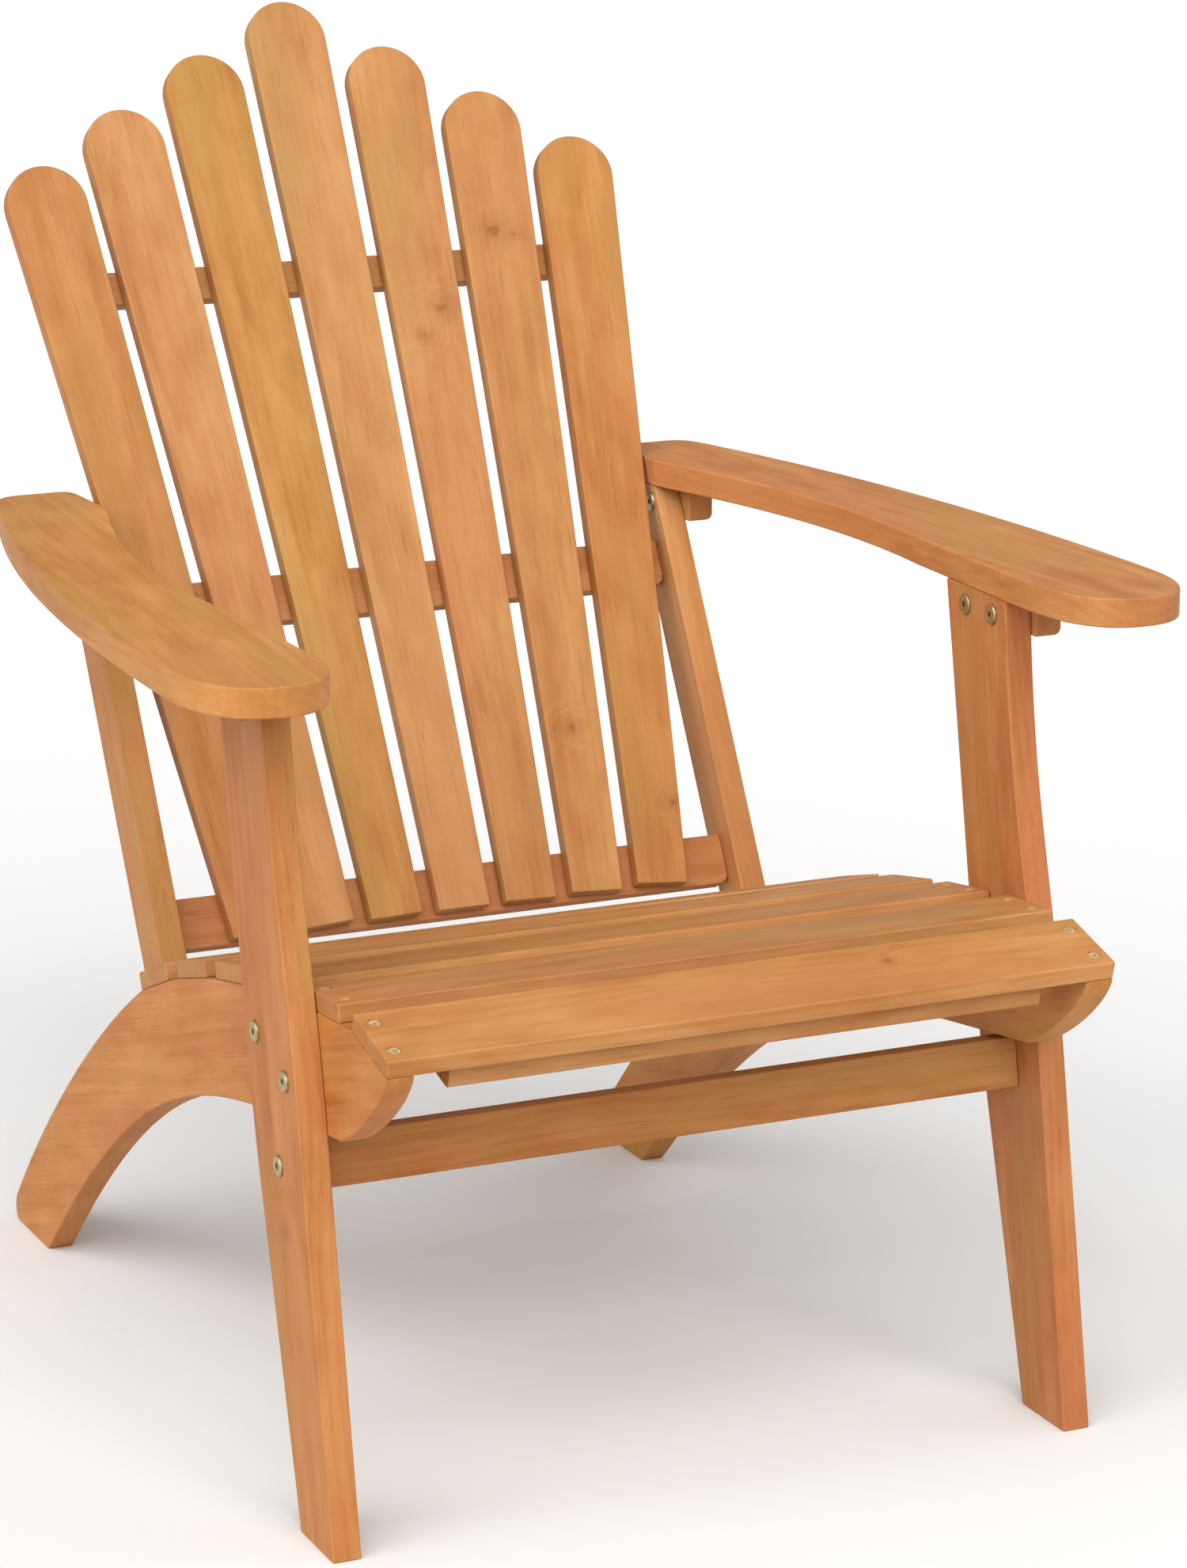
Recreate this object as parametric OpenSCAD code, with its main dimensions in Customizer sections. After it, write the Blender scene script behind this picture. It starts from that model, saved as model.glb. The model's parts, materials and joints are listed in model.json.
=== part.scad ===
/* [Frame] */
// Clear width between the two front legs
inner_w = 520; // [500:5:560]
// Thickness of the rails, legs, posts, arms, cleats, apron and batten
board_t = 20; // [19:0.5:21]
// Height of the front apron
apron_h = 35.5; // [32:0.5:41]
// Backward tilt of the front apron, in degrees
apron_tilt = 9; // [7:0.5:11]

/* [Seat] */
// Thickness of the seat slats, the back slats and the crossbars
slat_t = 13; // [12:0.5:14]
// Width of a seat slat
seat_slat_w = 60; // [52:1:64]
// Distance between the two screws at a slat's end
seat_screw_pitch = 34; // [28:1:38]
// Length of the batten under the front slat
batten_len = 424; // [380:2:440]
// Width of the batten under the front slat
batten_w = 40; // [30:1:44]

/* [Back] */
// Lean of the back from vertical, in degrees
back_lean = 29; // [27.5:0.5:30]
// Length of the middle back slat
back_slat_len = 720; // [680:10:760]
// How much shorter each back slat is than its neighbour nearer the middle
back_slat_step = 40; // [25:5:45]
// Width of a back slat at its lower end
back_slat_foot_w = 40; // [34:1:42]
// Width of a back slat at its round top
back_slat_top_w = 62; // [56:1:63]
// Distance between the lower ends of neighbouring back slats
back_slat_pitch = 53.4; // [52.5:0.1:54]
// Angle between neighbouring back slats, in degrees
back_fan = 1.8; // [1.7:0.05:1.85]
// Width of a back post
post_w = 40; // [36:1:42]

/* [Arms] */
// Height of the arms' underside above the floor
arm_under_h = 566; // [560:1:575]
// Height of the cleats under the arms
cleat_h = 26; // [24:1:30]

/* [Hardware] */
// Diameter of a bolt's flat head
bolt_head_d = 14.5; // [12:0.5:16]
// Diameter of a bolt's shank
bolt_d = 6; // [5:0.5:6.5]
// Diameter of a countersunk screw's head
screw_head_d = 8.2; // [7.4:0.2:8.6]
// Diameter of a countersunk screw's shank
screw_d = 3.8; // [3:0.2:4.2]

/* [Hidden] */
$fn = 48;

wood = [0.83, 0.58, 0.33];
wood_dark = [0.74, 0.49, 0.27];
brass = [0.72, 0.63, 0.42];
steel = [0.55, 0.50, 0.42];

// Every depth below is measured back from the front edge of the seat, and every height
// from the floor. The finished chair is then moved so that its box is centred in depth.
half_w = inner_w / 2;
rail_x = half_w - board_t / 2;
post_x = half_w - board_t * 1.5;
leg_x = half_w + board_t / 2;
seat_slat_len = inner_w - 1;
cut = 1;
fit = 0.15;

// Top face of each seat slat from front to back: [depth, height] of its middle, and its tilt
seat_slats = [
    [29, 360.5, 15],
    [114, 365, -4],
    [202.5, 354.5, -8],
    [285, 340.5, -11],
    [365.5, 321.5, -15.5],
    [446.5, 294, -21.5]
];
last_slat = len(seat_slats) - 1;
batten_setback = 10;
batten_round = 3;

// Lower front edge of the back slats, and where the back meets the other pieces,
// measured up along the leaning back
back_foot = [493, 295];
back_slats = 7;
back_middle = 4;
crossbar_round = 8;
crossbar_top_half = 215;
// [lower edge, height] of each crossbar
crossbar_levels = [[-3, 38], [234, 36], [489, 26]];
post_front = 5;
post_foot = -95;
post_reach = 460;

// Depth of the finished chair, from the front slat's edge to the middle back slat's top
overall_d = back_foot.x + back_slat_len * sin(back_lean) + slat_t * cos(back_lean);

// Side rail: curves given by four control points each, as [depth, height]
rail_toe = [82, 276];
rail_heel_front = [706, 0];
rail_heel_rear = [775, 0];
rail_heel_back = [783, 20];
rail_nose_curve = [seat_under(0, -1), [9, 322], [50, 291], rail_toe];
rail_under_curve = [rail_toe, [306.4, 243.5], [445.8, 245], rail_heel_front];
rail_heel_curve = [rail_heel_rear, [784, 0], [789, 8], rail_heel_back];
rail_back_curve = [rail_heel_back, [686, 127], [562, 220], seat_under(last_slat, 1)];

// Front leg: straight below the knee, then swept back to the arm
leg_toe = [56, 0];
leg_heel = [114.5, 0];
leg_knee = [108, 300];
leg_front_curve = [leg_knee, [123, 385], [150, 430], [159, arm_under_h]];
leg_rear_top = [243.6, arm_under_h];
leg_bend_curve = [[193.2, 288.5], [189.6, 268.8], [185.1, 249.4], [179.7, 230.1]];

// Front apron: its upper front corner
apron_corner = [132.7, 264.4];

// Arm outline: [distance out from the leg's inner face, depth]
arm_nose_in = [[-3, 125], [-3, 75], [12, 47], [44, 47]];
arm_nose_out = [[44, 47], [78, 47], [95, 75], [95, 130]];
arm_outer_curve = [[95, 130], [95, 300], [79, 500], [26, 687]];
arm_rear_out = [[26, 687], [22, 703], [15, 710], [3, 710]];
arm_rear_in = [[-27, 710], [-34, 710], [-37, 706], [-38, 698]];
arm_inner_curve = [[-41, 637], [-15, 545], [15, 440], [2, 290]];

// Cleats: [front end, length]
front_cleat = [152, 88];
rear_cleat = [618, 80];
cleat_round = 5;

// Bolts: [depth, height] on the sides of the chair
leg_rail_spots = [[127.5, 306], [180, 325]];
front_cleat_spots = [[177.5, 553], [214.5, 553]];
rear_cleat_spots = [[643, 553], [666, 553]];
// Distance below the apron's top, and behind its front face
apron_bolt_drop = 18.1;
apron_bolt_in = 10.9;
// Distances up along the back of the bolts from post to rail
post_bolt_levels = [-74, -48];
bolt_head_t = 2;
bolt_rim = 0.7;
hex_d = 4.6;
hex_deep = 3;
leg_bolt_len = 32;
apron_bolt_len = 54;
cleat_bolt_len = 33;
post_bolt_len = 34;
nut_sleeve_d = bolt_d + 2.6;
nut_sleeve_len = 14;
barrel_d = 10;
barrel_len = 14;
barrel_in = 26;

// Screws
screw_sink = 1;
screw_bore_d = screw_head_d + 0.8;
screw_rim = 0.5;
screw_point = 3;
cross_w = 0.9;
cross_len = 4.4;
cross_deep = 1.5;
seat_screw_len = 24;
batten_screw_len = 27;
batten_screw_pitch = 150;
back_screw_len = 21;
arm_screw_len = 38;
front_cleat_screws = [163, 229];
rear_cleat_screws = [628, 689];

// Dowels between the crossbars' ends and the posts
dowel_d = 8;
dowel_len = 30;
dowel_levels = [12, 28];

// Points of a cubic curve through control points p, without the first one
function curve(p, steps) = [
    for (i = [1 : steps])
        let (t = i / steps, u = 1 - t)
        u * u * u * p[0] + 3 * u * u * t * p[1] + 3 * u * t * t * p[2] + t * t * t * p[3]
];

// Lower corner of a seat slat: end is -1 for the front edge and 1 for the rear edge
function seat_under(i, end) =
    let (s = seat_slats[i], half = end * seat_slat_w / 2)
    [s[0] + slat_t * sin(s[2]) + half * cos(s[2]), s[1] - slat_t * cos(s[2]) + half * sin(s[2])];

// Quarter turn of radius r round the corner c, starting at angle a, or the corner itself
function corner(c, r, a) = r == 0 ? [c] : [
    for (i = [0 : 6])
        let (v = a + i * 15)
        [c.x - r * sign(cos(a + 45)), c.y - r * sign(sin(a + 45))] + r * [cos(v), sin(v)]
];

// Rectangle from the origin with a radius for each corner, from lower left round
function soft_rect(w, h, r) = concat(
    corner([0, 0], r[0], 180),
    corner([w, 0], r[1], 270),
    corner([w, h], r[2], 0),
    corner([0, h], r[3], 90)
);

module from_front() translate([0, -overall_d / 2, 0]) children();

module side(s) mirror([s < 0 ? 1 : 0, 0, 0]) children();

// Board lying in a side view: its outline is [depth, height] and it starts at x
module upright_board(x, t) translate([x, 0, 0]) rotate([90, 0, 90]) linear_extrude(t) children();

// Board lying in a front view: its outline is [width, height] and it starts at depth y
module facing_board(y, t) translate([0, y + t, 0]) rotate([90, 0, 0]) linear_extrude(t) children();

module on_seat_slat(i) {
    translate([0, seat_slats[i][0], seat_slats[i][1]]) rotate([seat_slats[i][2], 0, 0]) children();
}

// Frame of the back: its height runs up the slats and its depth goes through them
module on_back() translate([0, back_foot.x, back_foot.y]) rotate([-back_lean, 0, 0]) children();

module on_apron() {
    translate([0, apron_corner.x, apron_corner.y]) rotate([-apron_tilt, 0, 0]) children();
}

module on_back_slat(k) translate([back_slat_pitch * k, 0, 0]) rotate([0, back_fan * k, 0]) children();

// Screw with its head's top at the origin and its point down
module screw(len) {
    head_r = screw_head_d / 2;
    shank_r = screw_d / 2;
    neck = screw_rim + head_r - shank_r;
    difference() {
        rotate_extrude() polygon([
            [0, 0], [head_r, 0], [head_r, -screw_rim], [shank_r, -neck],
            [shank_r, screw_point - len], [0.3, -len], [0, -len]
        ]);
        for (a = [0, 90])
            rotate([0, 0, a + 20])
                translate([-cross_len / 2, -cross_w / 2, -cross_deep])
                    cube([cross_len, cross_w, cross_deep + cut]);
    }
}

// Hole that takes a sunk screw
module screw_bore(len) {
    bore_r = screw_bore_d / 2;
    shank_r = screw_d / 2 + fit;
    rim = screw_rim + fit;
    rotate_extrude() polygon([
        [0, screw_sink + cut], [bore_r, screw_sink + cut], [bore_r, -rim],
        [shank_r, -rim - bore_r + shank_r], [shank_r, -len - fit], [0, -len - fit]
    ]);
}

// Bolt with the underside of its head at the origin and its shank down
module bolt(len) {
    head_r = bolt_head_d / 2;
    difference() {
        union() {
            rotate_extrude() polygon([
                [0, 0], [head_r, 0], [head_r, bolt_head_t - bolt_rim],
                [head_r - bolt_rim, bolt_head_t], [0, bolt_head_t]
            ]);
            translate([0, 0, -len]) cylinder(h = len + cut, d = bolt_d);
        }
        translate([0, 0, bolt_head_t - hex_deep]) cylinder(h = hex_deep + cut, d = hex_d, $fn = 6);
    }
}

module bolt_bore(len) {
    translate([0, 0, -len - fit]) cylinder(h = len + fit + cut, d = bolt_d + 2 * fit);
}

// Sleeve nut with the underside of its head at the origin
module sleeve_nut() {
    difference() {
        union() {
            cylinder(h = bolt_head_t, d = bolt_head_d);
            translate([0, 0, -nut_sleeve_len]) cylinder(h = nut_sleeve_len + cut, d = nut_sleeve_d);
        }
        translate([0, 0, -nut_sleeve_len - cut]) cylinder(h = nut_sleeve_len, d = bolt_d + 2 * fit);
    }
}

module sleeve_bore() {
    translate([0, 0, -nut_sleeve_len - fit])
        cylinder(h = nut_sleeve_len + fit + cut, d = nut_sleeve_d + 2 * fit);
}

// Puts its children on a face at width x, with their +Z pointing out (1) or in (-1)
module on_side_face(x, spot, out) {
    translate([x, spot[0], spot[1]]) rotate([0, out * 90, 0]) children();
}

module at_seat_screws() {
    for (x = [-rail_x, rail_x], y = [-1, 1])
        translate([x, y * seat_screw_pitch / 2, -screw_sink]) children();
}

module at_batten_screws() {
    for (i = [-1 : 1])
        on_seat_slat(0)
            translate([i * batten_screw_pitch, 0, -slat_t - board_t + screw_sink])
                mirror([0, 0, 1]) children();
}

module at_leg_rail_bolts() {
    for (spot = leg_rail_spots) on_side_face(half_w + board_t, spot, 1) children();
}

module at_leg_rail_nuts() {
    for (spot = leg_rail_spots) on_side_face(half_w - board_t, spot, -1) children();
}

module at_apron_bolt() {
    on_apron()
        translate([half_w + board_t, apron_bolt_in, -apron_bolt_drop]) rotate([0, 90, 0]) children();
}

// Middle of the nut inside the apron, with its axis through the board
module at_barrel_nut() {
    on_apron()
        translate([half_w - barrel_in, apron_bolt_in, -apron_bolt_drop]) rotate([-90, 0, 0]) children();
}

module at_front_cleat_bolts() {
    for (spot = front_cleat_spots) on_side_face(half_w, spot, -1) children();
}

module at_rear_cleat_bolts() {
    for (spot = rear_cleat_spots) on_side_face(half_w - 2 * board_t, spot, -1) children();
}

module at_post_bolts() {
    for (level = post_bolt_levels)
        on_back()
            translate([half_w - 2 * board_t, post_w / 2 - post_front, level])
                rotate([0, -90, 0]) children();
}

module at_arm_screws() {
    for (y = front_cleat_screws)
        translate([leg_x + board_t, y, arm_under_h - cleat_h + screw_sink]) mirror([0, 0, 1]) children();
    for (y = rear_cleat_screws)
        translate([rail_x, y, arm_under_h - cleat_h + screw_sink]) mirror([0, 0, 1]) children();
}

// Screws through crossbar c into every back slat, from behind
module at_back_screws(c) {
    level = crossbar_levels[c][0] + crossbar_levels[c][1] / 2;
    reach = crossbar_half(c) - 12;
    for (k = [1 - back_middle : back_slats - back_middle]) {
        x = back_slat_pitch * k + level * tan(back_fan * k);
        on_back()
            translate([max(-reach, min(reach, x)), 2 * slat_t - screw_sink, level])
                rotate([-90, 0, 0]) children();
    }
}

function crossbar_half(c) = c == 2 ? crossbar_top_half : half_w - 2 * board_t;

// Dowels across the joints of the two lower crossbars, on one side
module at_dowels(c) {
    for (level = dowel_levels)
        on_back()
            translate([half_w - 2 * board_t, slat_t * 1.5, crossbar_levels[c][0] + level])
                rotate([0, 90, 0]) children();
}

module dowel() cylinder(h = dowel_len, d = dowel_d, center = true);

module dowel_bore() cylinder(h = dowel_len + 2 * fit, d = dowel_d + 2 * fit, center = true);

module side_rail(s) color(wood_dark) from_front() side(s) difference() {
    upright_board(half_w - board_t, board_t) polygon(concat(
        [for (i = [0 : last_slat], end = [-1, 1]) if (i < last_slat || end < 0) seat_under(i, end)],
        [seat_under(last_slat, 1)],
        [for (i = [23 : -1 : 0]) concat([rail_heel_back], curve(rail_back_curve, 24))[i]],
        [for (i = [5 : -1 : 0]) concat([rail_heel_rear], curve(rail_heel_curve, 6))[i]],
        [for (i = [28 : -1 : 0]) concat([rail_toe], curve(rail_under_curve, 28))[i]],
        [for (i = [10 : -1 : 1]) concat([seat_under(0, -1)], curve(rail_nose_curve, 11))[i]]
    ));
    for (i = [0 : last_slat]) on_seat_slat(i) at_seat_screws() screw_bore(seat_screw_len);
    at_leg_rail_bolts() bolt_bore(leg_bolt_len);
    at_leg_rail_nuts() sleeve_bore();
    at_post_bolts() bolt_bore(post_bolt_len);
}

module front_leg(s) color(wood) from_front() side(s) difference() {
    upright_board(half_w, board_t) polygon(concat(
        [leg_heel, leg_toe, leg_knee],
        curve(leg_front_curve, 16),
        [leg_rear_top, leg_bend_curve[0]],
        curve(leg_bend_curve, 6)
    ));
    at_leg_rail_bolts() bolt_bore(leg_bolt_len);
    at_apron_bolt() bolt_bore(apron_bolt_len);
    at_front_cleat_bolts() bolt_bore(cleat_bolt_len);
}

module front_apron() color(wood) from_front() difference() {
    on_apron() translate([-half_w, 0, -apron_h]) cube([inner_w, board_t, apron_h]);
    for (s = [-1, 1]) side(s) {
        at_apron_bolt() bolt_bore(apron_bolt_len);
        at_barrel_nut()
            translate([0, 0, -barrel_len / 2 - fit]) cylinder(h = board_t, d = barrel_d + 2 * fit);
    }
}

module seat_batten() color(wood_dark) from_front() difference() {
    on_seat_slat(0)
        translate([0, batten_setback - seat_slat_w / 2, -slat_t - board_t])
            upright_board(-batten_len / 2, batten_len)
                polygon(soft_rect(batten_w, board_t, [batten_round, batten_round, 0, 0]));
    at_batten_screws() screw_bore(batten_screw_len);
}

module seat_slat(i) color(wood) from_front() difference() {
    on_seat_slat(i)
        translate([-seat_slat_len / 2, -seat_slat_w / 2, -slat_t])
            cube([seat_slat_len, seat_slat_w, slat_t]);
    on_seat_slat(i) at_seat_screws() screw_bore(seat_screw_len);
    if (i == 0) at_batten_screws() screw_bore(batten_screw_len);
}

module back_slat(n) color(wood) from_front() difference() {
    k = n - back_middle;
    top_r = back_slat_top_w / 2;
    spring = back_slat_len - back_slat_step * abs(k) - top_r;
    on_back() on_back_slat(k) facing_board(0, slat_t) union() {
        polygon([
            [-back_slat_foot_w / 2, 0], [back_slat_foot_w / 2, 0],
            [top_r, spring], [-top_r, spring]
        ]);
        translate([0, spring]) circle(r = top_r, $fn = 96);
    }
    for (c = [0 : 2]) at_back_screws(c) screw_bore(back_screw_len);
}

module crossbar(c) color(wood_dark) from_front() difference() {
    half = crossbar_half(c);
    on_back() translate([-half, 0, crossbar_levels[c][0]]) facing_board(slat_t, slat_t)
        polygon(soft_rect(2 * half, crossbar_levels[c][1], [crossbar_round, crossbar_round, 0, 0]));
    at_back_screws(c) screw_bore(back_screw_len);
    if (c < 2) for (s = [-1, 1]) side(s) at_dowels(c) dowel_bore();
}

module back_post(s) color(wood_dark) from_front() side(s) difference() {
    on_back() translate([half_w - 2 * board_t, -post_front, post_foot]) cube([board_t, post_w, post_reach]);
    translate([0, 0, arm_under_h]) cube([inner_w, 2 * overall_d, post_reach]);
    at_post_bolts() bolt_bore(post_bolt_len);
    at_rear_cleat_bolts() bolt_bore(cleat_bolt_len);
    for (c = [0, 1]) at_dowels(c) dowel_bore();
}

module arm(s) color(wood) from_front() side(s) difference() {
    translate([half_w, 0, arm_under_h]) linear_extrude(board_t) polygon(concat(
        [arm_nose_in[0]],
        curve(arm_nose_in, 12),
        curve(arm_nose_out, 12),
        curve(arm_outer_curve, 24),
        curve(arm_rear_out, 8),
        [arm_rear_in[0]],
        curve(arm_rear_in, 6),
        [arm_inner_curve[0]],
        curve(arm_inner_curve, 20)
    ));
    at_arm_screws() screw_bore(arm_screw_len);
}

// Cleat under an arm: place is [front end, length], and its outer lower edge is rounded
module cleat(x, place) {
    translate([x, 0, arm_under_h - cleat_h])
        facing_board(place[0], place[1]) polygon(soft_rect(board_t, cleat_h, [0, cleat_round, 0, 0]));
}

module front_cleat_board(s) color(wood_dark) from_front() side(s) difference() {
    cleat(half_w + board_t, front_cleat);
    at_front_cleat_bolts() bolt_bore(cleat_bolt_len);
    at_arm_screws() screw_bore(arm_screw_len);
}

module rear_cleat_board(s) color(wood_dark) from_front() side(s) difference() {
    cleat(half_w - board_t, rear_cleat);
    at_rear_cleat_bolts() bolt_bore(cleat_bolt_len);
    at_arm_screws() screw_bore(arm_screw_len);
}

module both_sides() for (s = [-1, 1]) side(s) children();

module leg_rail_bolts() color(brass) from_front() both_sides() at_leg_rail_bolts() bolt(leg_bolt_len);

module leg_rail_nuts() color(brass) from_front() both_sides() at_leg_rail_nuts() sleeve_nut();

module leg_apron_bolts() color(brass) from_front() both_sides() at_apron_bolt() bolt(apron_bolt_len);

module apron_barrel_nuts() color(steel) from_front() both_sides() at_barrel_nut() difference() {
    cylinder(h = barrel_len, d = barrel_d, center = true);
    rotate([0, 90, 0]) cylinder(h = 2 * barrel_d, d = bolt_d + 2 * fit, center = true);
}

module front_cleat_bolts() color(brass) from_front() both_sides() at_front_cleat_bolts() bolt(cleat_bolt_len);

module rear_cleat_bolts() color(brass) from_front() both_sides() at_rear_cleat_bolts() bolt(cleat_bolt_len);

module post_rail_bolts() color(brass) from_front() both_sides() at_post_bolts() bolt(post_bolt_len);

module seat_screws() color(steel) from_front() {
    for (i = [0 : last_slat]) on_seat_slat(i) at_seat_screws() screw(seat_screw_len);
}

module batten_screws() color(steel) from_front() at_batten_screws() screw(batten_screw_len);

module back_screws() color(steel) from_front() for (c = [0 : 2]) at_back_screws(c) screw(back_screw_len);

module arm_screws() color(steel) from_front() both_sides() at_arm_screws() screw(arm_screw_len);

module crossbar_dowels() color(wood) from_front() both_sides() for (c = [0, 1]) at_dowels(c) dowel();

side_rail(-1);  // side_rail_left
side_rail(1);  // side_rail_right
front_leg(-1);  // front_leg_left
front_leg(1);  // front_leg_right
front_apron();
seat_batten();
seat_slat(0);  // seat_slat_1
seat_slat(1);  // seat_slat_2
seat_slat(2);  // seat_slat_3
seat_slat(3);  // seat_slat_4
seat_slat(4);  // seat_slat_5
seat_slat(5);  // seat_slat_6
back_slat(1);  // back_slat_1
back_slat(2);  // back_slat_2
back_slat(3);  // back_slat_3
back_slat(4);  // back_slat_4
back_slat(5);  // back_slat_5
back_slat(6);  // back_slat_6
back_slat(7);  // back_slat_7
crossbar(0);  // crossbar_bottom
crossbar(1);  // crossbar_middle
crossbar(2);  // crossbar_top
back_post(-1);  // back_post_left
back_post(1);  // back_post_right
arm(-1);  // arm_left
arm(1);  // arm_right
front_cleat_board(-1);  // front_cleat_left
front_cleat_board(1);  // front_cleat_right
rear_cleat_board(-1);  // rear_cleat_left
rear_cleat_board(1);  // rear_cleat_right
leg_rail_bolts();
leg_rail_nuts();
leg_apron_bolts();
apron_barrel_nuts();
front_cleat_bolts();
rear_cleat_bolts();
post_rail_bolts();
seat_screws();
batten_screws();
back_screws();
arm_screws();
crossbar_dowels();
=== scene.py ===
import json
import math

import bpy
import numpy as np
from mathutils import Matrix, Vector

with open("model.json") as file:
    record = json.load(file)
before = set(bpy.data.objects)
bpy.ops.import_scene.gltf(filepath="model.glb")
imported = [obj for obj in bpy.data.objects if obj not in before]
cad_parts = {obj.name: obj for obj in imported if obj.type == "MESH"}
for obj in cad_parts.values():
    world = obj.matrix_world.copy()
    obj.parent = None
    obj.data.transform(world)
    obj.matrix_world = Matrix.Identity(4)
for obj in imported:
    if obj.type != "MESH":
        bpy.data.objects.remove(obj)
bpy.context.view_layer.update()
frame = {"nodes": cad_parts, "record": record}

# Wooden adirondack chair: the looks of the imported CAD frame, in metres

NODES = frame["nodes"]
SLOT_OF = {s["node"]: s["material_slot"] for s in frame["record"]["subparts"]}

# Camera: its turn from straight in front, its rise above level and its roll, in degrees
CAMERA_TURN = 24.265
CAMERA_RISE = 14.327
CAMERA_ROLL = -0.197
CAMERA_DISTANCE = 3.502
CAMERA_AIM = Vector((0.0732, 0.0, 0.3958))
CAMERA_LENS = 111.46
SENSOR = 36.0
NEAREST_SEEN = 0.1
FARTHEST_SEEN = 100

# Lamps: the place that each shines from, and its strength
LAMPS = {
    "key_lamp": ((-0.6, -3.0, 2.6), 2.8),
    "left_lamp": ((-3.0, -0.8, 2.0), 2.1),
    "right_lamp": ((3.0, -0.6, 2.0), 0.5),
}
LAMP_SPREAD = math.radians(55)
LAMP_COLOUR = (1.0, 0.99, 0.975)
ROOM_COLOUR = (1.0, 1.0, 1.0, 1)
ROOM_STRENGTH = 0.42

FLOOR_GREY = (0.72, 0.72, 0.72, 1)
FLOOR_ROUGHNESS = 0.9
FLOOR_SIZE = 200

# Colours of the oiled wood and its knots
WOOD_PALE = (0.470, 0.232, 0.086, 1)
WOOD_HONEY = (0.400, 0.178, 0.058, 1)
WOOD_AMBER = (0.318, 0.118, 0.033, 1)
WOOD_DARK = (0.170, 0.052, 0.015, 1)
WOOD_OLIVE = (0.360, 0.190, 0.056, 1)
WOOD_ROSE = (0.405, 0.165, 0.060, 1)
KNOT_CORE = (0.140, 0.042, 0.014, 1)

# Where the pale, honey and amber colours lie on the scale of shade
PALE_AT = 0.13
HONEY_AT = 0.45
AMBER_AT = 0.80

# Scales of the wood's figure, per metre: across the face, through it and along the grain
WANDER_SCALE = (5.0, 5.0, 2.2)
JITTER_SCALE = (90.0, 90.0, 3.0)
STREAK_SCALE = (240.0, 240.0, 4.0)
BAND_SCALE = (52.0, 52.0, 1.1)
CLOUD_SCALE = (11.0, 11.0, 2.6)
MOTTLE_SCALE = (48.0, 48.0, 17.0)
TINT_SCALE = (16.0, 16.0, 3.2)
PORE_SCALE = (900.0, 900.0, 22.0)
HAIR_SCALE = (420.0, 420.0, 5.0)
KNOT_EDGE_SCALE = (130.0, 130.0, 90.0)

# Places in the noise, set apart so that no two figures repeat each other
MOTTLE_SHIFT = (2.7, 8.3, 6.1)
TINT_SHIFT = (7.3, 1.9, 4.1)
HAIR_SHIFT = (3.1, 5.7, 2.3)

# Growth rings: how many per metre, and how far they stray
RINGS_PER_METRE = 150.0
RING_JITTER = 0.9
RING_DRIFT = (0.060, 0.060, 0.0)

# How much of the shade each figure gives
RING_SHADE = 0.10
STREAK_SHADE = 0.13
BAND_SHADE = 0.17
CLOUD_SHADE = 0.30
MOTTLE_SHADE = 0.24

# How strongly each tint covers the wood
OLIVE_COVER = 0.60
ROSE_COVER = 0.50
HAIR_COVER = 0.22
PORE_COVER = 0.30
KNOT_COVER = 0.62
END_COVER = 0.38

# Oiled surface: its gloss, its relief, and the relief's parts
WOOD_ROUGHNESS = 0.47
STREAK_ROUGHNESS = 0.16
KNOT_POLISH = 0.10
STREAK_RELIEF = 0.50
RING_RELIEF = 0.18
PORE_RELIEF = 0.55
WOOD_BUMP = 0.35
WOOD_BUMP_DEPTH = 0.0006
WOOD_IOR = 1.46
WOOD_SPECULAR = 0.20

# How each board is cut from its log, and how its colour strays
PITH_ASIDE = 0.03
PITH_BEHIND = (0.045, 0.110)
SEED_REACH = 40
HUE_SPREAD = 0.003
SATURATION_SPREAD = 0.015
VALUE_SPREAD = 0.04

# Knots: place along (-1 to 1) and across (-1 to 1) the board's face, and radius
KNOTS = {
    "back_slat_5": [(0.37, 0.30, 0.0062), (0.305, -0.35, 0.0036)],
    "back_slat_6": [(0.64, -0.25, 0.0064), (0.632, 0.24, 0.0038), (-0.60, -0.20, 0.0046)],
    "back_slat_7": [(-0.79, 0.35, 0.0044)],
    "seat_slat_1": [(0.42, 0.30, 0.0034)],
    "front_leg_left": [(-0.28, -0.10, 0.0040)],
}
# One knot far outside the board, for the boards that show none
NO_KNOT = [(0.0, 9.0, 0.004)]

# A knot's parts: where each starts and is full, in radii, and its strength
KNOT_HEART = (1.15, 0.15, 0.90)
KNOT_HALO = (3.0, 0.8, 0.30)
KNOT_SWIRL = (5.0, 0.5, 2.6)
KNOT_STRETCH = (0.80, 0.0, 1.0)
KNOT_RAGGEDNESS = 2.6

# How each kind of board departs from the common colour: hue, saturation and value. This is
# partly the boards' own tone and partly painted shade and light: boards seen in shade, such as
# the crossbars between the back slats, the left post and the right leg, are painted darker and
# redder, and the side rails are painted lighter.
TONES_AND_PAINTED_SHADING = {
    "side_rail": (-0.003, 1.06, 1.05),
    "front_leg_right": (-0.010, 1.04, 0.98),
    "front_leg": (-0.004, 1.04, 0.97),
    "front_apron": (-0.004, 1.02, 0.97),
    "back_post_left": (-0.006, 1.04, 0.92),
    "back_post": (-0.001, 1.01, 1.00),
    "crossbar": (-0.009, 1.03, 0.95),
    "arm_right": (-0.001, 1.02, 1.03),
    "arm_left": (0.0, 1.02, 1.10),
    "back_slat_1": (-0.002, 1.03, 0.91),
    "back_slat_3": (0.006, 1.02, 0.95),
    "back_slat_7": (-0.003, 1.06, 0.90),
}
PLAIN_TONE = (0.0, 1.0, 1.0)

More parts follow.
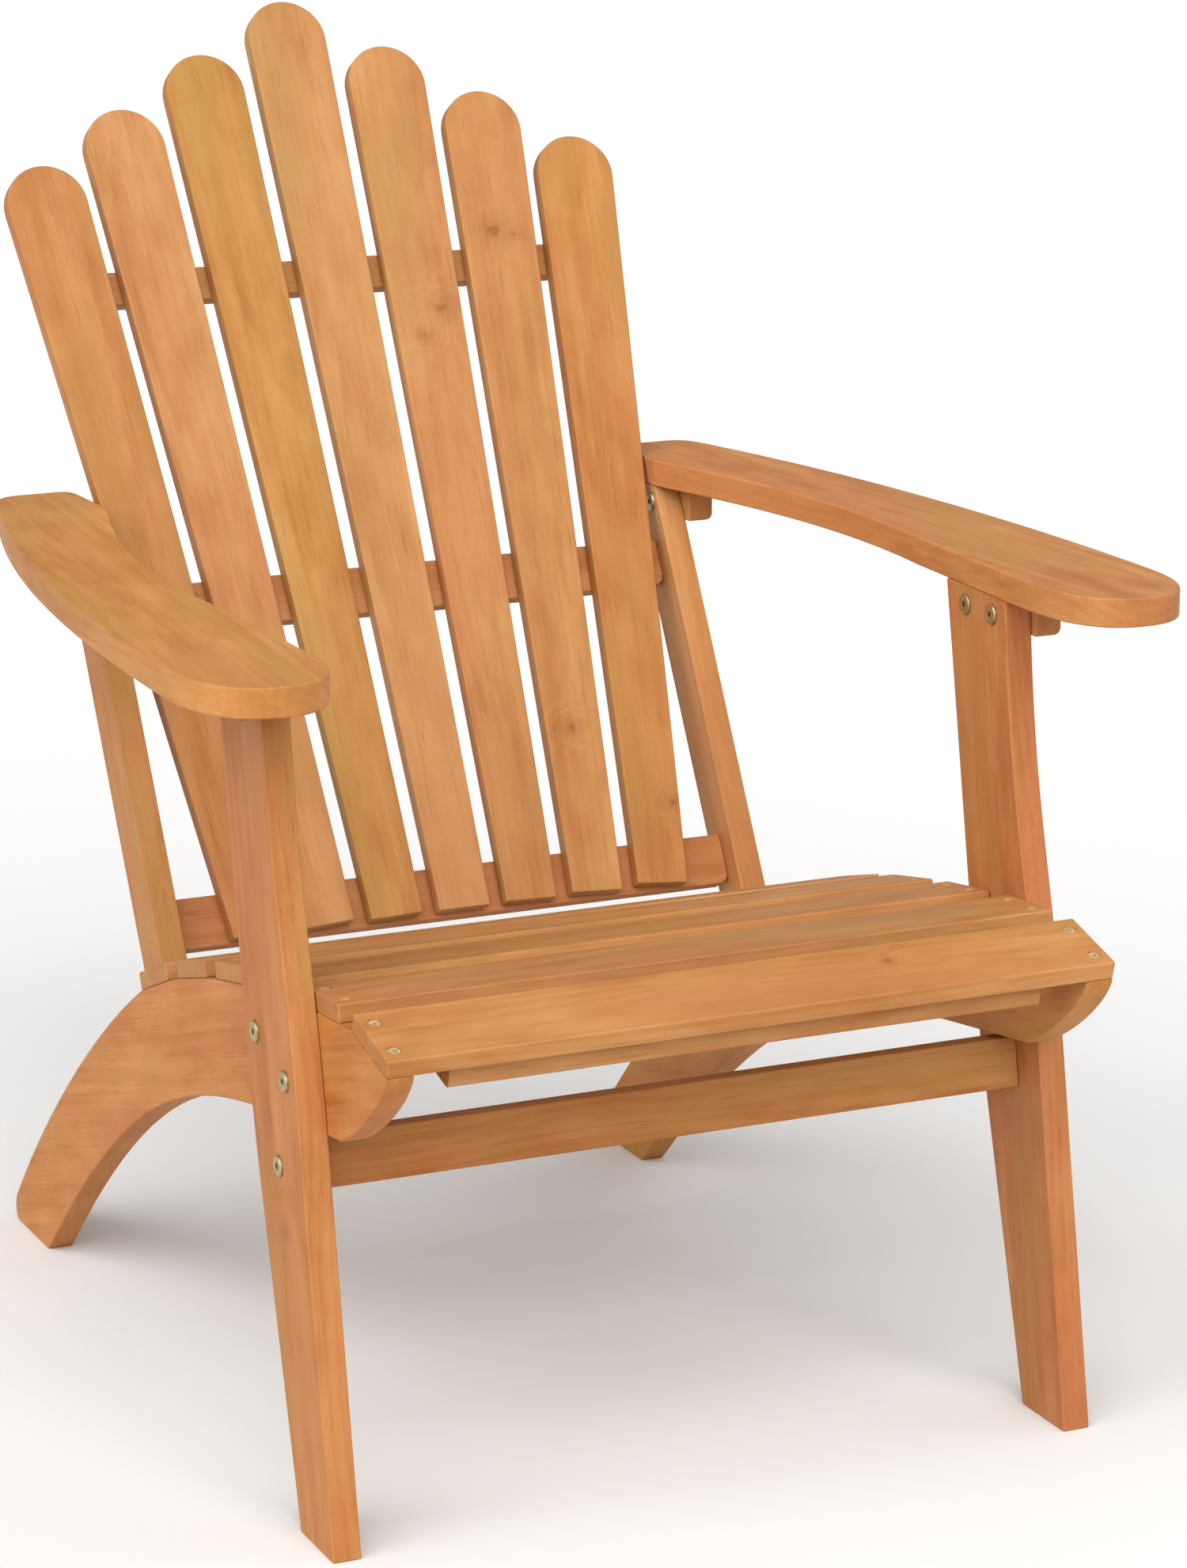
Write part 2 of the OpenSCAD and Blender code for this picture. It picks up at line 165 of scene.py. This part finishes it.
# Plated metal: colour and roughness of the bolts and of the screws
BOLT_COLOUR = (0.470, 0.370, 0.195, 1)
BOLT_ROUGHNESS = 0.33
SCREW_COLOUR = (0.870, 0.740, 0.460, 1)
SCREW_ROUGHNESS = 0.52
METALLIC = 0.92
DULLED = 0.62
METAL_MOTTLE_SCALE = (420.0, 420.0, 420.0)
METAL_FINE_SCALE = (2600.0, 2600.0, 2600.0)
METAL_MOTTLE_ROUGHNESS = 0.14
METAL_BUMP = 0.2
METAL_BUMP_DEPTH = 0.0001

# Eased edges of the boards
EASED_SLOTS = ("wood_board", "wood_slat")
EASED_EDGE = 0.0014
EASED_STEPS = 3
WELD_GAP = 0.00001
FLAT_ANGLE = math.radians(0.2)
SHARP_ANGLE = math.radians(32)
SHORTEST_EASED = 0.0011


class Graph:
    """Small helper that adds and links nodes in one tree."""

    def __init__(self, tree):
        self.tree = tree

    def add(self, kind, inputs=(), **settings):
        node = self.tree.nodes.new(kind)
        for name, value in settings.items():
            setattr(node, name, value)
        for key, value in dict(inputs).items():
            self.feed(node.inputs[key], value)
        return node

    def feed(self, socket, value):
        if isinstance(value, bpy.types.NodeSocket):
            self.tree.links.new(value, socket)
        else:
            socket.default_value = value

    def math(self, operation, *values):
        node = self.add("ShaderNodeMath", operation=operation)
        for socket, value in zip(node.inputs, values):
            self.feed(socket, value)
        return node.outputs[0]

    def add_part(self, total, part, share):
        """The total so far, and a share of one more part."""
        return self.math("ADD", total, self.math("MULTIPLY", part, share))

    def vector_math(self, operation, *values):
        node = self.add("ShaderNodeVectorMath", operation=operation)
        for socket, value in zip(node.inputs, values):
            self.feed(socket, value)
        return node.outputs

    def vector(self, operation, *values):
        return self.vector_math(operation, *values)["Vector"]

    def measure(self, operation, *values):
        """Number got from vectors: a length, a distance or a dot product."""
        return self.vector_math(operation, *values)["Value"]

    def noise(self, place, stretch, detail=3.0, roughness=0.55):
        """Noise whose scale is given for each axis of the board, per metre."""
        spread = self.vector("MULTIPLY", place, stretch)
        node = self.add("ShaderNodeTexNoise", {"Vector": spread, "Scale": 1.0, "Detail": detail,
                                               "Roughness": roughness})
        return node.outputs["Fac"]

    def remap(self, value, low, high, new_low=0.0, new_high=1.0):
        node = self.add("ShaderNodeMapRange", {"Value": value, "From Min": low, "From Max": high,
                                               "To Min": new_low, "To Max": new_high})
        node.interpolation_type = "SMOOTHSTEP"
        return node.outputs[0]

    def mix(self, factor, first, second):
        node = self.add("ShaderNodeMix", data_type="RGBA")
        self.feed(node.inputs["Factor"], factor)
        self.feed(node.inputs["A"], first)
        self.feed(node.inputs["B"], second)
        return node.outputs["Result"]


def growth_rings(g, given, place):
    """Late wood of rings round a distant pith that wanders slowly along the board."""
    wander = g.add("ShaderNodeTexNoise", {"Vector": g.vector("MULTIPLY", place, WANDER_SCALE),
                                          "Scale": 1.0, "Detail": 2.0}).outputs["Color"]
    drift = g.vector("MULTIPLY", g.vector("SUBTRACT", wander, (0.5, 0.5, 0.5)), RING_DRIFT)
    spoke = g.vector("ADD", g.vector("SUBTRACT", given["Place"], given["Pith"]), drift)
    radius = g.measure("LENGTH", g.vector("MULTIPLY", spoke, (1.0, 1.0, 0.0)))
    jitter = g.noise(place, JITTER_SCALE, detail=2.0)
    phase = g.add_part(g.math("MULTIPLY", radius, RINGS_PER_METRE), jitter, RING_JITTER)
    ring = g.math("FRACT", g.math("ADD", phase, given["Swirl"]))
    return g.math("MULTIPLY", g.remap(ring, 0.25, 0.88), g.remap(ring, 1.0, 0.90))


def shade_to_wood(g, shade):
    """Pale to amber wood along the scale of shade."""
    ramp = g.add("ShaderNodeValToRGB", {"Fac": shade})
    steps = ramp.color_ramp.elements
    steps[0].position = PALE_AT
    steps[0].color = WOOD_PALE
    steps[1].position = AMBER_AT
    steps[1].color = WOOD_AMBER
    steps.new(HONEY_AT).color = WOOD_HONEY
    return ramp.outputs["Color"]


def grain_group():
    """Figure of a plank: growth rings, streaks, bands, pores and broad tints.

    Its Place is in the board's own frame, in metres: X across the face, Y through the
    thickness and Z along the grain.
    """
    tree = bpy.data.node_groups.new("plank_figure", "ShaderNodeTree")
    face = tree.interface
    for name, kind in [("Place", "Vector"), ("Seed", "Vector"), ("Pith", "Vector"),
                       ("Swirl", "Float"), ("Knot", "Float"), ("End", "Float")]:
        face.new_socket(name, in_out="INPUT", socket_type="NodeSocket" + kind)
    for name, kind in [("Colour", "Color"), ("Roughness", "Float"), ("Height", "Float")]:
        face.new_socket(name, in_out="OUTPUT", socket_type="NodeSocket" + kind)
    g = Graph(tree)
    given = g.add("NodeGroupInput").outputs
    place = g.vector("ADD", given["Place"], given["Seed"])

    late = growth_rings(g, given, place)
    streak = g.noise(place, STREAK_SCALE, detail=5.0, roughness=0.62)
    band = g.noise(place, BAND_SCALE, detail=3.0)
    cloud = g.noise(place, CLOUD_SCALE, detail=2.0)
    mottle = g.noise(g.vector("ADD", place, MOTTLE_SHIFT), MOTTLE_SCALE, detail=4.0)
    tint = g.noise(g.vector("ADD", place, TINT_SHIFT), TINT_SCALE, detail=2.0)
    pores = g.remap(g.noise(place, PORE_SCALE, detail=2.0), 0.61, 0.72)
    hairs = g.remap(g.noise(g.vector("ADD", place, HAIR_SHIFT), HAIR_SCALE), 0.60, 0.72)

    shade = g.math("MULTIPLY", late, RING_SHADE)
    shade = g.add_part(shade, g.remap(streak, 0.30, 0.70), STREAK_SHADE)
    shade = g.add_part(shade, g.remap(band, 0.32, 0.68), BAND_SHADE)
    shade = g.add_part(shade, g.remap(cloud, 0.30, 0.72), CLOUD_SHADE)
    shade = g.add_part(shade, g.remap(mottle, 0.34, 0.70), MOTTLE_SHADE)
    colour = shade_to_wood(g, shade)
    colour = g.mix(g.remap(tint, 0.50, 0.66, 0.0, OLIVE_COVER), colour, WOOD_OLIVE)
    colour = g.mix(g.remap(tint, 0.50, 0.34, 0.0, ROSE_COVER), colour, WOOD_ROSE)
    colour = g.mix(g.math("MULTIPLY", hairs, HAIR_COVER), colour, WOOD_PALE)
    colour = g.mix(g.math("MULTIPLY", pores, PORE_COVER), colour, WOOD_DARK)
    colour = g.mix(g.math("MULTIPLY", given["Knot"], KNOT_COVER), colour, KNOT_CORE)
    colour = g.mix(g.math("MULTIPLY", given["End"], END_COVER), colour, WOOD_AMBER)

    rough = g.add_part(WOOD_ROUGHNESS, streak, STREAK_ROUGHNESS)
    rough = g.math("SUBTRACT", rough, g.math("MULTIPLY", given["Knot"], KNOT_POLISH))
    height = g.add_part(g.math("MULTIPLY", streak, STREAK_RELIEF), late, RING_RELIEF)
    height = g.math("SUBTRACT", height, g.math("MULTIPLY", pores, PORE_RELIEF))
    result = g.add("NodeGroupOutput").inputs
    g.feed(result["Colour"], colour)
    g.feed(result["Roughness"], rough)
    g.feed(result["Height"], height)
    return tree


def board_frame(node):
    """Middle of a board, half its size, and its axes: across, through and along the grain."""
    co = np.array([v.co for v in node.data.vertices], float)
    middle = (co.max(0) + co.min(0)) / 2
    axes = np.linalg.svd(co - co.mean(0), full_matrices=False)[2]
    along, across = axes[0], axes[1]
    along = along * np.sign(along[np.argmax(np.abs(along))])
    across = across * np.sign(across[np.argmax(np.abs(across))])
    rows = np.array([across, np.cross(along, across), along])
    spans = (co - middle) @ rows.T
    return Vector(middle), (spans.max(0) - spans.min(0)) / 2, Matrix(rows.tolist())


def knots_of(g, name, board, half):
    """Bend of the grain round a board's knots, and the knots' own darkness."""
    swirl = 0.0
    knot = 0.0
    for along, across, size in KNOTS.get(name, NO_KNOT):
        centre = (across * half[0], 0.0, along * half[2])
        off = g.vector("MULTIPLY", g.vector("SUBTRACT", board, centre), KNOT_STRETCH)
        wobble = g.math("SUBTRACT", g.noise(board, KNOT_EDGE_SCALE, detail=2.0), 0.5)
        reach = g.add_part(g.measure("LENGTH", off), wobble, size * KNOT_RAGGEDNESS)
        parts = []
        for start, full, strength in (KNOT_HEART, KNOT_HALO):
            parts.append(g.math("MULTIPLY", g.remap(reach, size * start, size * full), strength))
        start, full, bend = KNOT_SWIRL
        swirl = g.math("ADD", swirl, g.remap(reach, size * start, size * full, 0.0, bend))
        knot = g.math("MAXIMUM", knot, g.math("MAXIMUM", *parts))
    return swirl, knot


def tone_and_painted_shading_of(name):
    """Tone, painted shade and painted light included, of the first kind in the table of tones
    that the board's name starts with.
    """
    return next((TONES_AND_PAINTED_SHADING[kind] for kind in TONES_AND_PAINTED_SHADING if name.startswith(kind)), PLAIN_TONE)


def wood(node, number, figure):
    """Oiled wood for one board, with its own cut from the log and its own knots."""
    middle, half, turn = board_frame(node)
    rng = np.random.default_rng(number * 17 + 5)
    material = bpy.data.materials.new("wood_" + node.name)
    material.use_nodes = True
    g = Graph(material.node_tree)
    shader = material.node_tree.nodes["Principled BSDF"]

    where = g.add("ShaderNodeTexCoord").outputs["Object"]
    board = g.add("ShaderNodeMapping", {"Vector": where, "Rotation": turn.to_euler(),
                                        "Location": -(turn @ middle)}).outputs["Vector"]
    swirl, knot = knots_of(g, node.name, board, half)
    normal = g.add("ShaderNodeNewGeometry").outputs["Normal"]
    facing = g.measure("DOT_PRODUCT", normal, tuple(turn[2]))
    end = g.remap(g.math("ABSOLUTE", facing), 0.55, 0.95)
    pith = (rng.uniform(-PITH_ASIDE, PITH_ASIDE),
            rng.choice([-1, 1]) * rng.uniform(*PITH_BEHIND), 0.0)
    seed = tuple(float(v) for v in rng.uniform(-SEED_REACH, SEED_REACH, 3))
    plank = g.add("ShaderNodeGroup", node_tree=figure)
    for name, value in [("Place", board), ("Seed", seed), ("Pith", pith), ("Swirl", swirl),
                        ("Knot", knot), ("End", end)]:
        g.feed(plank.inputs[name], value)

    # The board's tone, which for some boards holds painted shade and light, and a small random
    # spread
    hue, saturation, value = tone_and_painted_shading_of(node.name)
    tinted = g.add("ShaderNodeHueSaturation", {
        "Hue": 0.5 + hue + float(rng.uniform(-HUE_SPREAD, HUE_SPREAD)),
        "Saturation": saturation * float(rng.uniform(1 - SATURATION_SPREAD,
                                                     1 + SATURATION_SPREAD)),
        "Value": value * float(rng.uniform(1 - VALUE_SPREAD, 1 + VALUE_SPREAD)),
        "Color": plank.outputs["Colour"],
    })
    bump = g.add("ShaderNodeBump", {"Strength": WOOD_BUMP, "Distance": WOOD_BUMP_DEPTH,
                                    "Height": plank.outputs["Height"]})
    g.feed(shader.inputs["Base Color"], tinted.outputs["Color"])
    g.feed(shader.inputs["Roughness"], plank.outputs["Roughness"])
    g.feed(shader.inputs["Normal"], bump.outputs["Normal"])
    shader.inputs["IOR"].default_value = WOOD_IOR
    shader.inputs["Specular IOR Level"].default_value = WOOD_SPECULAR
    return material


def metal(name, colour, roughness):
    """Plated metal, slightly mottled, for the fasteners."""
    material = bpy.data.materials.new(name)
    material.use_nodes = True
    g = Graph(material.node_tree)
    shader = material.node_tree.nodes["Principled BSDF"]
    where = g.add("ShaderNodeTexCoord").outputs["Object"]
    mottle = g.noise(where, METAL_MOTTLE_SCALE, detail=4.0)
    fine = g.noise(where, METAL_FINE_SCALE, detail=2.0)
    dull = tuple(DULLED * c for c in colour[:3]) + (1,)
    g.feed(shader.inputs["Base Color"], g.mix(g.remap(mottle, 0.40, 0.70), colour, dull))
    g.feed(shader.inputs["Roughness"], g.add_part(roughness, mottle, METAL_MOTTLE_ROUGHNESS))
    bump = g.add("ShaderNodeBump", {"Strength": METAL_BUMP, "Distance": METAL_BUMP_DEPTH,
                                    "Height": fine})
    g.feed(shader.inputs["Normal"], bump.outputs["Normal"])
    shader.inputs["Metallic"].default_value = METALLIC
    return material


def easing_tree():
    """Marks a board's long sharp edges for rounding and leaves the screw holes alone."""
    tree = bpy.data.node_groups.new("mark_sharp_edges", "GeometryNodeTree")
    for way in ("INPUT", "OUTPUT"):
        tree.interface.new_socket("Geometry", in_out=way, socket_type="NodeSocketGeometry")
    g = Graph(tree)
    shape = g.add("NodeGroupInput").outputs["Geometry"]
    angle = g.add("GeometryNodeInputMeshEdgeAngle").outputs["Unsigned Angle"]
    ends = g.add("GeometryNodeInputMeshEdgeVertices").outputs
    length = g.measure("DISTANCE", ends["Position 1"], ends["Position 2"])
    sharp = g.math("GREATER_THAN", angle, SHARP_ANGLE)
    long = g.math("GREATER_THAN", length, SHORTEST_EASED)
    named = g.add("GeometryNodeStoreNamedAttribute", {
        "Geometry": shape, "Name": "bevel_weight_edge", "Value": g.math("MULTIPLY", sharp, long)},
        data_type="FLOAT", domain="EDGE")
    g.feed(g.add("NodeGroupOutput").inputs[0], named.outputs["Geometry"])
    return tree


def ease_edges(node, tree):
    """Weld, clean and round the sharp edges of a board."""
    weld = node.modifiers.new("weld", "WELD")
    weld.merge_threshold = WELD_GAP
    flat = node.modifiers.new("flat_faces", "DECIMATE")
    flat.decimate_type = "DISSOLVE"
    flat.angle_limit = FLAT_ANGLE
    mark = node.modifiers.new("mark", "NODES")
    mark.node_group = tree
    bevel = node.modifiers.new("eased_edges", "BEVEL")
    bevel.width = EASED_EDGE
    bevel.segments = EASED_STEPS
    bevel.limit_method = "WEIGHT"
    bevel.use_clamp_overlap = False
    bevel.harden_normals = True


def dress():
    """Give every CAD node its material, and every board its eased edges."""
    figure = grain_group()
    tree = easing_tree()
    plated = {"bolt_metal": metal("plated_bolt", BOLT_COLOUR, BOLT_ROUGHNESS),
              "screw_metal": metal("plated_screw", SCREW_COLOUR, SCREW_ROUGHNESS)}
    for number, name in enumerate(sorted(NODES)):
        node = NODES[name]
        slot = SLOT_OF[name]
        if slot in plated:
            material = plated[slot]
        else:
            material = wood(node, number, figure)
        if slot in EASED_SLOTS:
            ease_edges(node, tree)
        node.data.materials.clear()
        node.data.materials.append(material)


def floor():
    """Plain pale floor, far wider than the chair."""
    bpy.ops.mesh.primitive_plane_add(size=FLOOR_SIZE)
    plane = bpy.context.object
    plane.name = "floor"
    material = bpy.data.materials.new("pale_floor")
    material.use_nodes = True
    shader = material.node_tree.nodes["Principled BSDF"]
    shader.inputs["Base Color"].default_value = FLOOR_GREY
    shader.inputs["Roughness"].default_value = FLOOR_ROUGHNESS
    plane.data.materials.append(material)


def lamp(name, place, strength):
    """Very soft distant light that shines from a place towards the chair."""
    data = bpy.data.lights.new(name, "SUN")
    data.energy = strength
    data.angle = LAMP_SPREAD
    data.color = LAMP_COLOUR
    light = bpy.data.objects.new(name, data)
    light.location = place
    light.rotation_mode = "QUATERNION"
    light.rotation_quaternion = (-Vector(place)).to_track_quat("-Z", "Y")
    bpy.context.scene.collection.objects.link(light)


def studio():
    """Soft light: a bright room, a large key light in front and a fill on each side."""
    world = bpy.data.worlds.new("studio")
    world.use_nodes = True
    sky = world.node_tree.nodes["Background"]
    sky.inputs["Color"].default_value = ROOM_COLOUR
    sky.inputs["Strength"].default_value = ROOM_STRENGTH
    scene = bpy.context.scene
    scene.world = world
    scene.view_settings.view_transform = "Standard"
    for name, (place, strength) in LAMPS.items():
        lamp(name, place, strength)


def camera():
    """Camera in front of the chair, to its left as seen from the front, and above the seat."""
    turn = math.radians(CAMERA_TURN)
    rise = math.radians(CAMERA_RISE)
    forward = Vector((math.sin(turn) * math.cos(rise), math.cos(turn) * math.cos(rise),
                      -math.sin(rise)))
    data = bpy.data.cameras.new("camera")
    data.sensor_fit = "AUTO"
    data.sensor_width = SENSOR
    data.lens = CAMERA_LENS
    data.clip_start = NEAREST_SEEN
    data.clip_end = FARTHEST_SEEN
    viewer = bpy.data.objects.new("camera", data)
    viewer.rotation_mode = "QUATERNION"
    upright = forward.to_track_quat("-Z", "Y")
    roll = Matrix.Rotation(math.radians(CAMERA_ROLL), 3, "Z").to_quaternion()
    viewer.rotation_quaternion = upright @ roll
    viewer.location = CAMERA_AIM - forward * CAMERA_DISTANCE
    bpy.context.scene.collection.objects.link(viewer)
    bpy.context.scene.camera = viewer


dress()
floor()
studio()
camera()
